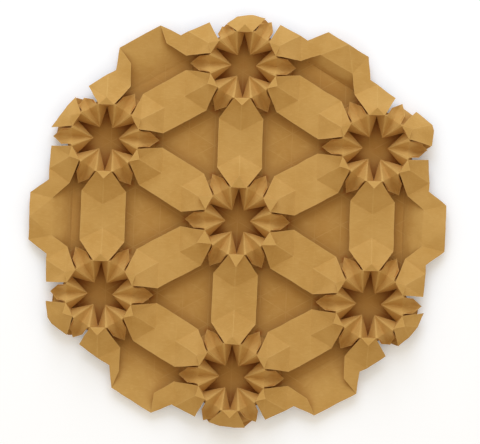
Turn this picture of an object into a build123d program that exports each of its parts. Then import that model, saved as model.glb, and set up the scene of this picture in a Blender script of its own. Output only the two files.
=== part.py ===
"""Origami tessellation: one sheet of paper folded into seven star craters joined by raised petals.

Millimetres, +Z up. The sheet lies on the plane Z = 0, with the origin under the middle of the central star.
Each star has six spokes, which carry the petals, and six boats, which lie between the spokes.
"""

import os
from itertools import combinations
from math import cos, radians, sin, tan

import numpy as np
from build123d import *

# The sheet and the layout of the stars
paper = 0.25
star_pitch = 75.0

# How far the back of a sharp fold may lie behind its front
fold_depth = 1.5

# One star, measured from its centre along a spoke or a boat
collar_reach = 16.0
cap_half = 3.6
boat_half = 3.9
tip_reach = 5.9
notch_reach = 15.6
centre_cap_reach = 22.2
outer_cap_reach = 19.6
cap_overhang = 0.4
boat_reach = 25.6
boat_waist_reach = 21.0
boat_waist_half = 3.1
shoulder_reach = 25.6

# The petals
petal_width = 21.5
pleat_gap = 3.2

# Feet of the hidden walls
slit_reach = 18.0
cap_foot_half = 3.8
boat_foot_half = 3.1
waist_foot_half = 2.3
boat_foot_reach = 24.0
floor_tip_reach = 7.7
floor_notch_reach = 16.6

# Heights of the front of the paper above the table
petal_height = 5.8
petal_edge_sag = 0.3
collar_height = 15.0
cap_height = 16.0
notch_height = 8.0
saddle_height = 9.2
tip_height = 5.6
slit_height = 9.6
waist_foot_height = 4.6
boat_waist_height = 8.4
boat_trough_height = 3.0
boat_end_height = 2.4

# Rise of a petal's ridge towards its star, for each millimetre along it
ridge_slope = 0.54

# The border, measured outward from the line of two outer stars, with half lengths along the side
rim_reach = 35.65
rim_half = 11.3
step_reach = 26.75
step_half = 17.9
crease_reach = 24.65
crease_half = 8.9

# Where the facets of the border's floor and of its slope meet, as a share of the length of either
floor_hub_share = 0.85
slope_hub_share = 0.15

# Sides that were opened out, where the floor runs on to the rim below the flaps of the half petals
open_sides = (1, 3, 4)
flap_reach = 26.55
flap_half = 10.0
flap_height = 5.6

# Heights of the border, side by side from the upper right and on round to the left
crease_heights = {0: 6.0, 2: 5.2, 5: 5.2}
rim_heights = (5.0, 5.4, 3.2, 4.2, 4.2, 3.2)
rim_rises = (4.2, 0.0, 2.8, 0.0, 0.0, 2.8)

# Where the floor begins to rise to the rim, in the same order
slope_starts = (18.45, 15.15, 15.15, 15.15, 15.15, 15.15)

# How far the rim of each side was folded off the middle of that side, in the same order
rim_slides = (0.0, 0.0, 1.4, 2.6, 0.4, 0.0)

# The half petals that run out to the border
half_corner_reach = 24.8
half_corner_half = 9.1
half_valley_reach = 31.0

# The two boats that point outward from each outer star, from the upper right and on to the left
outer_boat_reaches = ((25.6, 25.6), (25.0, 21.6), (22.5, 25.6), (24.0, 25.0), (25.6, 25.0), (22.5, 25.6))

# The petal between those two boats: along, across and height of four points on its cut edge, left to right
outer_petal_edges = (
    ((26.0, 6.3, 4.0), (30.0, -3.2, 5.8), (29.3, -6.0, 6.6), (24.6, -12.0, 8.0)),
    ((19.8, 8.8, 7.0), (23.6, 4.0, 5.6), (24.6, -3.5, 5.6), (22.9, -9.6, 6.6)),
    ((24.8, 9.7, 5.6), (24.5, 3.3, 6.6), (23.9, -3.1, 6.6), (22.7, -9.4, 5.6)),
    ((23.4, 10.4, 6.0), (27.4, 2.0, 6.0), (27.7, -1.6, 6.0), (24.7, -8.9, 6.0)),
    ((24.4, 7.3, 6.0), (24.9, 2.0, 5.6), (24.2, -5.0, 5.6), (22.6, -10.4, 6.0)),
    ((24.6, 10.4, 4.6), (25.6, 3.4, 6.8), (24.9, -3.2, 6.4), (22.9, -9.9, 4.6)),
)

# How far the sheet closes the gap on each side of such a petal, as a share of the way to its corner
outer_gap_shares = ((0.0, 1.0), (1.0, 1.0), (0.9, 1.0), (1.0, 0.9), (1.0, 1.0), (0.9, 1.0))

# Lengths that follow from the ones above
petal_half = petal_width / 2
pleat_half = pleat_gap / 2
valley_reach = shoulder_reach + petal_half * tan(radians(30))
star_row = star_pitch * cos(radians(30))

# Directions of the first spoke and the first boat of a star, and the two sides of either
SPOKES = 30
BOATS = 0
LEFT = 1
RIGHT = -1


class Star:
    """The folded points of one star, on its six spokes and its six boats."""

    def __init__(self, middle, cap_reach=outer_cap_reach):
        self.middle = middle
        ridge_reach = cap_reach - cap_overhang
        ridge_height = petal_height + ridge_slope * (valley_reach - ridge_reach)
        self.cap = self.six(SPOKES, cap_reach, 0, cap_height)
        self.ridge = self.six(SPOKES, ridge_reach, 0, ridge_height)
        self.notch = self.six(SPOKES, notch_reach, 0, notch_height)
        self.notch_foot = self.six(SPOKES, floor_notch_reach, 0, paper)
        self.valley = self.six(SPOKES, valley_reach, 0, petal_height)
        self.collar = self.pairs(SPOKES, collar_reach, cap_half, collar_height)
        self.collar_foot = self.pairs(SPOKES, slit_reach, cap_foot_half, slit_height)
        self.shoulder = self.pairs(SPOKES, shoulder_reach, petal_half, petal_height)
        self.shoulder_foot = self.pairs(SPOKES, shoulder_reach, pleat_half, paper)
        self.tip = self.six(BOATS, tip_reach, 0, tip_height)
        self.tip_foot = self.six(BOATS, floor_tip_reach, 0, paper)
        self.saddle = self.six(BOATS, collar_reach, 0, saddle_height)
        self.gunwale = self.pairs(BOATS, collar_reach, boat_half, collar_height)
        self.trough = [None] * 6
        self.end = [None] * 6
        self.end_foot = [None] * 6
        self.gunwale_foot = {LEFT: [None] * 6, RIGHT: [None] * 6}
        self.waist = {LEFT: [None] * 6, RIGHT: [None] * 6}
        self.waist_foot = {LEFT: [None] * 6, RIGHT: [None] * 6}
        for boat in range(6):
            self.set_boat(boat, boat_reach)

    def set_boat(self, boat, reach):
        """Sets how far a boat reaches; its waist and its foot keep their share of the length."""
        angle = BOATS + 60 * boat
        share = (reach - collar_reach) / (boat_reach - collar_reach)
        waist = collar_reach + (boat_waist_reach - collar_reach) * share
        foot = collar_reach + (boat_foot_reach - collar_reach) * share
        self.trough[boat] = self.at(angle, waist, 0, boat_trough_height)
        self.end[boat] = self.at(angle, reach, 0, boat_end_height)
        self.end_foot[boat] = self.at(angle, foot, 0, paper)
        slit = collar_reach + (slit_reach - collar_reach) * share
        for side in (LEFT, RIGHT):
            self.gunwale_foot[side][boat] = self.at(angle, slit, side * boat_foot_half, slit_height)
            self.waist[side][boat] = self.at(angle, waist, side * boat_waist_half, boat_waist_height)
            self.waist_foot[side][boat] = self.at(angle, waist, side * waist_foot_half, waist_foot_height)

    def set_half_petal(self, spoke, outer_side):
        """Cuts a petal off at the edge of the sheet, on the side of it that lies outward."""
        angle = SPOKES + 60 * spoke
        across = outer_side * half_corner_half
        self.valley[spoke] = self.at(angle, half_valley_reach, 0, petal_height)
        self.shoulder[outer_side][spoke] = self.at(angle, half_corner_reach, across, petal_height)

    def at(self, angle, along, across, height):
        """A point at a distance along a direction from the star's middle, and across it to the left."""
        turn = radians(angle)
        x = self.middle.X + along * cos(turn) - across * sin(turn)
        y = self.middle.Y + along * sin(turn) + across * cos(turn)
        return Vector(x, y, height)

    def six(self, first, along, across, height):
        """The same point on each of the six spokes or boats."""
        return [self.at(first + 60 * turn, along, across, height) for turn in range(6)]

    def pairs(self, first, along, half, height):
        """The same point on each side of each of the six spokes or boats."""
        return {side: self.six(first, along, side * half, height) for side in (LEFT, RIGHT)}


# The facets of the front of the sheet, each with three corners
front = []


def flat(*corners):
    """One flat facet of the front, its corners anticlockwise as seen from the front."""
    front.append(corners)


def fan(hub, loop):
    """Flat facets from one point to each edge of a closed loop."""
    for start, end in zip(loop, loop[1:] + loop[:1]):
        flat(hub, start, end)


def wall(crest, foot):
    """Flat facets that fold back from a crest line and run down to a foot line."""
    on_crest = 0
    on_foot = 0
    while on_crest < len(crest) - 1 or on_foot < len(foot) - 1:
        crest_next = (on_crest + 1) / max(len(crest) - 1, 1)
        foot_next = (on_foot + 1) / max(len(foot) - 1, 1)
        if on_foot < len(foot) - 1 and foot_next <= crest_next:
            flat(crest[on_crest], foot[on_foot], foot[on_foot + 1])
            on_foot += 1
        else:
            flat(crest[on_crest + 1], crest[on_crest], foot[on_foot])
            on_crest += 1


def fold_crater(star):
    """The floor of a star, its six boats and its six caps, with the hidden walls beneath them."""
    floor_loop = []
    for boat in range(6):
        before = (boat - 1) % 6
        tip = star.tip[boat]
        saddle = star.saddle[boat]
        trough = star.trough[boat]
        end = star.end[boat]
        left = star.gunwale[LEFT][boat]
        right = star.gunwale[RIGHT][boat]
        left_foot = star.gunwale_foot[LEFT][boat]
        right_foot = star.gunwale_foot[RIGHT][boat]
        left_collar = star.collar[RIGHT][boat]
        right_collar = star.collar[LEFT][before]
        left_waist = star.waist[LEFT][boat]
        right_waist = star.waist[RIGHT][boat]
        flat(tip, right, saddle)
        flat(tip, saddle, left)
        flat(saddle, right, right_waist)
        flat(saddle, right_waist, trough)
        flat(trough, right_waist, end)
        flat(saddle, trough, left_waist)
        flat(trough, end, left_waist)
        flat(saddle, left_waist, left)
        flat(tip, left, left_collar)
        flat(tip, left_collar, star.notch[boat])
        flat(tip, star.notch[before], right_collar)
        flat(tip, right_collar, right)
        wall([right_collar, right], [star.collar_foot[LEFT][before], right_foot])
        wall([right, right_waist, end], [right_foot, star.waist_foot[RIGHT][boat], star.end_foot[boat]])
        wall([end, left_waist, left], [star.end_foot[boat], star.waist_foot[LEFT][boat], left_foot])
        wall([left, left_collar], [left_foot, star.collar_foot[RIGHT][boat]])
        wall([star.notch[boat], tip], [star.notch_foot[boat], star.tip_foot[boat]])
        wall([tip, star.notch[before]], [star.tip_foot[boat], star.notch_foot[before]])
        floor_loop += [star.tip_foot[boat], star.notch_foot[boat]]
    for spoke in range(6):
        left = star.collar[LEFT][spoke]
        right = star.collar[RIGHT][spoke]
        flat(left, right, star.cap[spoke])
        flat(star.notch[spoke], right, left)
        flat(star.cap[spoke], right, star.ridge[spoke])
        flat(left, star.cap[spoke], star.ridge[spoke])
    fan(star.at(0, 0, 0, paper), floor_loop)


def fold_petal_end(star, spoke, left_foot=None, right_foot=None):
    """The facets of a petal that climb to a cap, and the walls under their edges."""
    ridge = star.ridge[spoke]
    valley = star.valley[spoke]
    left = star.shoulder[LEFT][spoke]
    right = star.shoulder[RIGHT][spoke]
    left_collar = star.collar[LEFT][spoke]
    right_collar = star.collar[RIGHT][spoke]
    flat(ridge, right_collar, right)
    flat(ridge, right, valley)
    flat(ridge, valley, left)
    flat(ridge, left, left_collar)
    left_foot = left_foot or [star.shoulder_foot[LEFT][spoke], star.collar_foot[LEFT][spoke]]
    right_foot = right_foot or [star.collar_foot[RIGHT][spoke], star.shoulder_foot[RIGHT][spoke]]
    wall([left], left_foot)
    wall([left, left_collar], left_foot[-1:])
    wall([right_collar, right], right_foot[:1])
    wall([right], right_foot)


def fold_petal(star, spoke, other):
    """A whole petal from one star to its neighbour: both ends, the flat middle and the walls beneath."""
    back = (spoke + 3) % 6
    fold_petal_end(star, spoke)
    fold_petal_end(other, back)
    angle = SPOKES + 60 * spoke
    near = star.valley[spoke]
    far = other.valley[back]
    edge_height = petal_height - petal_edge_sag
    right_middle = star.at(angle, star_pitch / 2, -petal_half, edge_height)
    left_middle = star.at(angle, star_pitch / 2, petal_half, edge_height)
    flat(near, star.shoulder[RIGHT][spoke], right_middle)
    flat(near, right_middle, far)
    flat(far, right_middle, other.shoulder[LEFT][back])
    flat(near, far, left_middle)
    flat(near, left_middle, star.shoulder[LEFT][spoke])
    flat(far, other.shoulder[RIGHT][back], left_middle)
    wall(
        [star.shoulder[RIGHT][spoke], right_middle, other.shoulder[LEFT][back]],
        [star.shoulder_foot[RIGHT][spoke], other.shoulder_foot[LEFT][back]],
    )
    wall(
        [other.shoulder[RIGHT][back], left_middle, star.shoulder[LEFT][spoke]],
        [other.shoulder_foot[RIGHT][back], star.shoulder_foot[LEFT][spoke]],
    )


def fold_slit(star, boat, side, petal_foot):
    """The bottom of the slit between a boat and the petal beside it, which climbs to the collar."""
    gunwale = star.gunwale_foot[side][boat]
    waist = star.waist_foot[side][boat]
    end = star.end_foot[boat]
    if side == LEFT:
        flat(petal_foot, star.collar_foot[RIGHT][boat], gunwale)
        flat(petal_foot, gunwale, waist)
        flat(petal_foot, waist, end)
    else:
        flat(end, waist, petal_foot)
        flat(waist, gunwale, petal_foot)
        flat(gunwale, star.collar_foot[LEFT][(boat - 1) % 6], petal_foot)


def recess_corner(star, boat):
    """The feet that bound a recess where a boat of a star points into it, anticlockwise round the recess."""
    left_foot = star.shoulder_foot[RIGHT][boat]
    right_foot = star.shoulder_foot[LEFT][(boat - 1) % 6]
    fold_slit(star, boat, LEFT, left_foot)
    fold_slit(star, boat, RIGHT, right_foot)
    return [left_foot, star.end_foot[boat], right_foot]


def fold_recess(first, second, third, boat):
    """The flat triangular floor between three stars."""
    loop = recess_corner(first, boat)
    loop += recess_corner(second, (boat + 2) % 6)
    loop += recess_corner(third, (boat + 4) % 6)
    hub = (first.middle + second.middle + third.middle) / 3
    fan(Vector(hub.X, hub.Y, paper), loop)


def fold_side(low, high, side):
    """One side of the border, between two outer stars: two half petals, the rising floor and the rim."""
    angle = 60 * (side + 1)
    row = Star(centre.at(angle, star_row, 0, 0))
    is_open = side in open_sides
    rim_height = rim_heights[side]
    slide = rim_slides[side]
    slope_start = slope_starts[side]
    slope_end = rim_reach if is_open else crease_reach
    slope_top = rim_height if is_open else crease_heights[side]
    slope = (slope_top - paper) / (slope_end - slope_start)
    low_spoke = (side + 1) % 6
    high_spoke = side % 6
    low_step = row.at(angle, step_reach, slide - step_half, petal_height)
    high_step = row.at(angle, step_reach, slide + step_half, petal_height)
    low_rim = row.at(angle, rim_reach, slide - rim_half, rim_height)
    high_rim = row.at(angle, rim_reach, slide + rim_half, rim_height)
    rim_middle = row.at(angle, rim_reach, slide, rim_height + rim_rises[side])
    if is_open:
        low_crease = row.at(angle, flap_reach, -flap_half, flap_height)
        high_crease = row.at(angle, flap_reach, flap_half, flap_height)
    else:
        low_crease = row.at(angle, crease_reach, slide - crease_half, slope_top)
        high_crease = row.at(angle, crease_reach, slide + crease_half, slope_top)

    # Where the floor begins to rise, on the foot line of each half petal
    outward = Vector(cos(radians(angle)), sin(radians(angle)), 0)
    start = star_row + slope_start
    low_collar = low.collar_foot[LEFT][low_spoke]
    high_collar = high.collar_foot[RIGHT][high_spoke]
    low_foot = low.shoulder_foot[LEFT][low_spoke]
    high_foot = high.shoulder_foot[RIGHT][high_spoke]
    share = (start - low_collar.dot(outward)) / (low_foot.dot(outward) - low_collar.dot(outward))
    low_start = low_collar + (low_foot - low_collar) * share
    high_start = high_collar + (high_foot - high_collar) * share
    low_start.Z = paper
    high_start.Z = paper
    lift = Vector(0, 0, (low_foot.dot(outward) - start) * slope)
    low_foot = low_foot + lift
    high_foot = high_foot + lift

    # The two half petals and the walls under their inner edges
    fold_petal_end(low, low_spoke, left_foot=[low_foot, low_start, low_collar])
    fold_petal_end(high, high_spoke, right_foot=[high_collar, high_start, high_foot])
    flat(low.shoulder[LEFT][low_spoke], low.valley[low_spoke], low_step)
    flat(low.shoulder[LEFT][low_spoke], low_step, low_crease)
    flat(low_step, low_rim, low_crease)
    flat(high.shoulder[RIGHT][high_spoke], high_step, high.valley[high_spoke])
    flat(high.shoulder[RIGHT][high_spoke], high_crease, high_step)
    flat(high_step, high_crease, high_rim)

    # The flat part of the floor, its rising part and the rim
    low_boat = (side + 2) % 6
    low_petal = low.shoulder_foot[RIGHT][low_boat]
    high_petal = high.shoulder_foot[LEFT][(side + 5) % 6]
    fold_slit(low, low_boat, LEFT, low_petal)
    fold_slit(low, low_boat, RIGHT, low_start)
    fold_slit(high, side, LEFT, high_start)
    fold_slit(high, side, RIGHT, high_petal)
    loop = [high_petal, low_petal, low.end_foot[low_boat], low_start, high_start, high.end_foot[side]]
    fan(row.at(angle, floor_hub_share * slope_start, 0, paper), loop)
    low_edge = [low_crease, low.shoulder[LEFT][low_spoke]]
    high_edge = [high.shoulder[RIGHT][high_spoke], high_crease]
    if is_open:
        under_height = paper + (flap_reach - slope_start) * slope
        under_half = (flap_half + step_half) / 2
        low_under = row.at(angle, flap_reach, slide / 2 - under_half, under_height)
        high_under = row.at(angle, flap_reach, slide / 2 + under_half, under_height)
        wall([low_rim] + low_edge, [low_under, low_foot])
        wall(high_edge + [high_rim], [high_foot, high_under])
        slope_loop = [low_foot, low_under, low_rim, rim_middle, high_rim, high_under, high_foot]
    else:
        wall(low_edge, [low_foot])
        wall(high_edge, [high_foot])
        slope_loop = [low_foot, low_crease, high_crease, high_foot]
        flat(low_crease, low_rim, rim_middle)
        flat(low_crease, rim_middle, high_crease)
        flat(high_crease, rim_middle, high_rim)
    hub_rise = slope_hub_share * (slope_end - slope_start)
    slope_hub = row.at(angle, slope_start + hub_rise, 0, paper + hub_rise * slope)
    fan(slope_hub, [high_start, low_start] + slope_loop)


def fold_outer_petal(star, spoke):
    """The short petal that points outward from an outer star and ends at the edge of the sheet."""
    angle = SPOKES + 60 * spoke
    edge = [star.at(angle, *point) for point in outer_petal_edges[spoke]]
    left = edge[0]
    right = edge[-1]
    ridge = star.ridge[spoke]
    flat(ridge, star.collar[RIGHT][spoke], right)
    for point, following in zip(edge, edge[1:]):
        flat(ridge, following, point)
    flat(ridge, left, star.collar[LEFT][spoke])

    # The walls under its two sides, and the bottoms of the slits beside it
    left_along, left_across, _ = outer_petal_edges[spoke][0]
    right_along, right_across, _ = outer_petal_edges[spoke][-1]
    left_foot = star.at(angle, left_along, pleat_half, paper)
    right_foot = star.at(angle, right_along, -pleat_half, paper)
    left_boat = (spoke + 1) % 6
    fold_slit(star, left_boat, RIGHT, left_foot)
    fold_slit(star, spoke, LEFT, right_foot)
    left_slit = star.collar_foot[LEFT][spoke]
    right_slit = star.collar_foot[RIGHT][spoke]
    wall([left], [left_foot, left_slit])
    wall([left, star.collar[LEFT][spoke]], [left_slit])
    wall([star.collar[RIGHT][spoke], right], [right_slit])
    wall([right], [right_slit, right_foot])
    left_share, right_share = outer_gap_shares[spoke]
    if left_share:
        left_gap = star.at(angle, left_share * left_along, left_share * left_across, paper)
        flat(star.end_foot[left_boat], left_foot, left_gap)
    if right_share:
        right_gap = star.at(angle, right_share * right_along, right_share * right_across, paper)
        flat(right_foot, star.end_foot[spoke], right_gap)


# Fold the front of the sheet
centre = Star(Vector(0, 0, 0), centre_cap_reach)
ring = [Star(middle) for middle in centre.six(SPOKES, star_pitch, 0, 0)]
for turn, star in enumerate(ring):
    star.set_boat(turn, outer_boat_reaches[turn][0])
    star.set_boat((turn + 1) % 6, outer_boat_reaches[turn][1])
    star.set_half_petal((turn + 1) % 6, RIGHT)
    star.set_half_petal((turn + 5) % 6, LEFT)
for star in [centre] + ring:
    fold_crater(star)
for turn in range(6):
    following = (turn + 1) % 6
    fold_petal(centre, turn, ring[turn])
    fold_petal(ring[turn], (turn + 2) % 6, ring[following])
    fold_recess(centre, ring[turn], ring[following], following)
    fold_side(ring[turn], ring[following], turn)
    fold_outer_petal(ring[turn], turn)


def key(point):
    """The same place in space gives the same key."""
    return tuple(round(value, 5) for value in point)


def shortest(rows, limits):
    """The shortest move whose share along each row keeps to that row's limit, or comes nearest to it."""
    best = None
    best_rank = None
    for count in range(1, rows.shape[1] + 1):
        for some in combinations(range(len(rows)), count):
            chosen = list(some)
            move = np.linalg.lstsq(rows[chosen], limits[chosen], rcond=None)[0]
            excess = max((rows @ move - limits).max(), 0)
            rank = (round(excess, 5), np.linalg.norm(move))
            if best is None or rank < best_rank:
                best = move
                best_rank = rank
    return best


def step_back(around, thickness, on_table):
    """The move from a front corner to the back: a thickness behind each facet, no deeper than a fold."""
    if on_table:
        level = shortest(around[:, :2], thickness * (around[:, 2] - 1))
        return np.append(level, -thickness)
    step = shortest(around, np.full(len(around), -thickness))
    return step * min(1, fold_depth / np.linalg.norm(step))


def thickened(facets, thickness):
    """Flat faces that close the sheet: its front, its back one thickness behind and its cut edge."""
    normals = {}
    edges = set()
    for a, b, c in facets:
        normal = (b - a).cross(c - a).normalized()
        for start, end in ((a, b), (b, c), (c, a)):
            normals.setdefault(key(start), []).append(tuple(normal))
            edges.add((key(start), key(end)))
    behind = {}
    for place, around in normals.items():
        on_table = place[2] < 1.01 * thickness
        behind[place] = Vector(*place) + Vector(*step_back(np.array(around), thickness, on_table))
    loops = []
    for a, b, c in facets:
        loops.append((key(a), key(b), key(c)))
        loops.append((behind[key(a)], behind[key(c)], behind[key(b)]))
    for start, end in sorted(edges):
        if (end, start) not in edges:
            loops.append((end, start, behind[start]))
            loops.append((end, behind[start], behind[end]))
    return [Face(Wire.make_polygon(loop)) for loop in loops]


with BuildPart() as folded_sheet:
    add(Solid(Shell(thickened(front, paper))))

folded_sheet.part.label = "folded_sheet"
os.makedirs("parts", exist_ok=True)
export_step(folded_sheet.part, "parts/folded_sheet.step")
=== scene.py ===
"""Blender scene of an origami tessellation: one sheet of ochre paper folded into seven star craters.

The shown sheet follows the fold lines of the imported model, with soft scoops, worn folds and the small
unevenness of folding by hand. Fold lengths are in millimetres, as in the part's source, and a mesh is made
in metres.
"""

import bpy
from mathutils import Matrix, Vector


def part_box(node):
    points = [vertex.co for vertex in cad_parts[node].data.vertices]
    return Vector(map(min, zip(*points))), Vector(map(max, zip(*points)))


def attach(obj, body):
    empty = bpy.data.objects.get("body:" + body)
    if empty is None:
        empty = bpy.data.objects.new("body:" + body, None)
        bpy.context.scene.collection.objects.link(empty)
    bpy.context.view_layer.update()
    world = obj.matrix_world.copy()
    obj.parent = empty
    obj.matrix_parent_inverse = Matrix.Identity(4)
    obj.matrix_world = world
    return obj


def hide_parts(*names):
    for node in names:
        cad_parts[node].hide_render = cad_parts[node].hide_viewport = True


bl_info = {
    "name": "Folded Star Sheet",
    "version": (1, 0, 0),
    "blender": (4, 5, 0),
    "location": "3D View > Sidebar > Folded Sheet",
    "description": "Folds a sheet of paper into star craters joined by raised petals, on a plain stage",
    "category": "Object",
}

from math import cos, degrees, radians, sin, tan

import bmesh
import bpy
import numpy as np
from mathutils import Vector, noise
from mathutils.bvhtree import BVHTree

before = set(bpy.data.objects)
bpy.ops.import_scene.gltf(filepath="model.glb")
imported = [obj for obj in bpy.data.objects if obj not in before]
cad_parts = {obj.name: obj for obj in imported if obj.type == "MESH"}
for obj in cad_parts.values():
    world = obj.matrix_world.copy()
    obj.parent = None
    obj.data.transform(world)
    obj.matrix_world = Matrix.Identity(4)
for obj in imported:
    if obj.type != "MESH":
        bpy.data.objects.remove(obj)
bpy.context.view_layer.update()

MM = 0.001
NODE = "folded_sheet"

# Grid creases between two neighbouring stars
GRID_STEPS = 6

# One star, measured from its centre along a spoke or a boat
COLLAR_REACH = 16.0
CAP_HALF = 3.6
BOAT_HALF = 3.9
TIP_REACH = 5.9
NOTCH_REACH = 15.6
CENTRE_CAP_REACH = 22.2
OUTER_CAP_REACH = 19.6
CAP_OVERHANG = 0.4
BOAT_REACH = 25.6
BOAT_WAIST_REACH = 21.0
BOAT_WAIST_HALF = 3.1
SHOULDER_REACH = 25.6
PLEAT_HALF = 1.6

# Feet of the hidden walls
SLIT_REACH = 18.0
CAP_FOOT_HALF = 3.8
BOAT_FOOT_HALF = 3.1
WAIST_FOOT_HALF = 2.3
BOAT_FOOT_REACH = 24.0
FLOOR_TIP_REACH = 7.7
FLOOR_NOTCH_REACH = 16.6

# Heights of the front of the paper above the table
PETAL_EDGE_SAG = 0.3
COLLAR_HEIGHT = 15.0
NOTCH_HEIGHT = 8.0
SADDLE_HEIGHT = 9.2
TIP_HEIGHT = 5.6
SLIT_HEIGHT = 9.6
WAIST_FOOT_HEIGHT = 4.6
BOAT_WAIST_HEIGHT = 8.4
BOAT_TROUGH_HEIGHT = 3.0
BOAT_END_HEIGHT = 2.4

# Corners between these heights belong to the petals and the border
PETAL_LOW = 3.0
PETAL_HIGH = 7.5

# The noise that shifts those corners: waves for each millimetre, and where it is read
CORNER_GRAIN = 0.37
CORNER_OFFSET = Vector((0.4, 8.3, 2.6))

# The noise that makes the paper uneven: its fixed start, and its wide and small waves for each millimetre
UNEVEN_SEED = 7
WIDE_GRAIN = 0.045
WIDE_OFFSET = Vector((3.1, 7.7, 1.3))
WIDE_SHARE = 1.6
SMALL_GRAIN = 0.16
SMALL_OFFSET = Vector((11.2, 2.9, 5.5))

# The paper stays level below the first height and moves freely above the second
STILL_HEIGHT = 0.4
FREE_HEIGHT = 3.0

# How sharp the softer folds stay, from nothing for round to one for sharp
TIP_CREASE = 0.3
SADDLE_CREASE = 0.45
SCOOP_CREASE = 0.0
BOAT_END_CREASE = 0.4
CUT_EDGE_CREASE = 0.5

# Rise of a petal's ridge towards its star, for each millimetre along it
RIDGE_SLOPE = 0.54

# The border, measured outward from the line of two outer stars, with half lengths along the side
RIM_REACH = 35.65
RIM_HALF = 11.3
STEP_REACH = 26.75
STEP_HALF = 17.9
CREASE_REACH = 24.65
CREASE_HALF = 8.9

# Where the facets of the border's floor and of its slope meet, as a share of the length of either
FLOOR_HUB_SHARE = 0.85
SLOPE_HUB_SHARE = 0.15

# Sides that were opened out, where the floor runs on to the rim below the flaps of the half petals
OPEN_SIDES = (1, 3, 4)
FLAP_REACH = 26.55
FLAP_HALF = 10.0
FLAP_HEIGHT = 5.6

# Heights and slides of the border, side by side from the upper right and on round to the left
CREASE_HEIGHTS = {0: 6.0, 2: 5.2, 5: 5.2}
RIM_HEIGHTS = (5.0, 5.4, 3.2, 4.2, 4.2, 3.2)
RIM_RISES = (4.2, 0.0, 2.8, 0.0, 0.0, 2.8)
RIM_SLIDES = (0.0, 0.0, 1.4, 2.6, 0.4, 0.0)

# Where the floor begins to rise to the rim, in the same order
SLOPE_STARTS = (18.45, 15.15, 15.15, 15.15, 15.15, 15.15)

# The half petals that run out to the border
HALF_CORNER_REACH = 24.8
HALF_CORNER_HALF = 9.1
HALF_VALLEY_REACH = 31.0

# The two boats that point outward from each outer star, from the upper right and on to the left
OUTER_BOAT_REACHES = ((25.6, 25.6), (25.0, 21.6), (22.5, 25.6), (24.0, 25.0), (25.6, 25.0), (22.5, 25.6))

# The petal between those two boats: along, across and height of four points on its cut edge, left to right
OUTER_PETAL_EDGES = (
    ((26.0, 6.3, 4.0), (30.0, -3.2, 5.8), (29.3, -6.0, 6.6), (24.6, -12.0, 8.0)),
    ((19.8, 8.8, 7.0), (23.6, 4.0, 5.6), (24.6, -3.5, 5.6), (22.9, -9.6, 6.6)),
    ((24.8, 9.7, 5.6), (24.5, 3.3, 6.6), (23.9, -3.1, 6.6), (22.7, -9.4, 5.6)),
    ((23.4, 10.4, 6.0), (27.4, 2.0, 6.0), (27.7, -1.6, 6.0), (24.7, -8.9, 6.0)),
    ((24.4, 7.3, 6.0), (24.9, 2.0, 5.6), (24.2, -5.0, 5.6), (22.6, -10.4, 6.0)),
    ((24.6, 10.4, 4.6), (25.6, 3.4, 6.8), (24.9, -3.2, 6.4), (22.9, -9.9, 4.6)),
)

# How far the sheet closes the gap on each side of such a petal, as a share of the way to its corner
OUTER_GAP_SHARES = ((0.0, 1.0), (1.0, 1.0), (0.9, 1.0), (1.0, 0.9), (1.0, 1.0), (0.9, 1.0))

# Directions of the first spoke and the first boat of a star, and the two sides of either
SPOKES = 30
BOATS = 0
LEFT = 1
RIGHT = -1

# A fold that turns more than this, in degrees, is a worn crest, and one past the second is shaded as sharp
CREST_TURN = 20
SHARP_TURN = 18

# Places whose distances to the folds are worked out together
PLACES_AT_ONCE = 2000

# How far paper shelters other paper from the sky, and how far from the paper the look at the sky starts
SHELTER_REACH = 30.0
RAY_START = 0.1

# Looks at the sky in rings: degrees above the table, looks in the ring, and the share of a step it starts at
SKY_RINGS = ((18, 10, 0.0), (42, 8, 0.5), (66, 5, 0.5))

# How far the floor lies below the sheet, so that the two never share a plane, and half its length in metres
FLOOR_DROP = 0.05
FLOOR_HALF = 3.0

# The key lamp's distance in metres, its shift to the left as a share of that, and the power in watts that
# lights a facing surface one metre away at full level
KEY_DISTANCE = 1.1
KEY_LEFT = 0.06
FULL_LIGHT = 9.87

# The camera's sensor, the height that its distance is measured from, and how far it sees in metres
SENSOR = 36.0
VIEWED_HEIGHT = 5.0
SIGHT_END = 20.0

# The photograph's frame: millimetres across its long side, and where its middle lies on the sheet
FRAME_ACROSS = 231.65
FRAME_TURN = 2.2
FRAME_RIGHT = 1.255
FRAME_DOWN = 0.483


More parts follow.
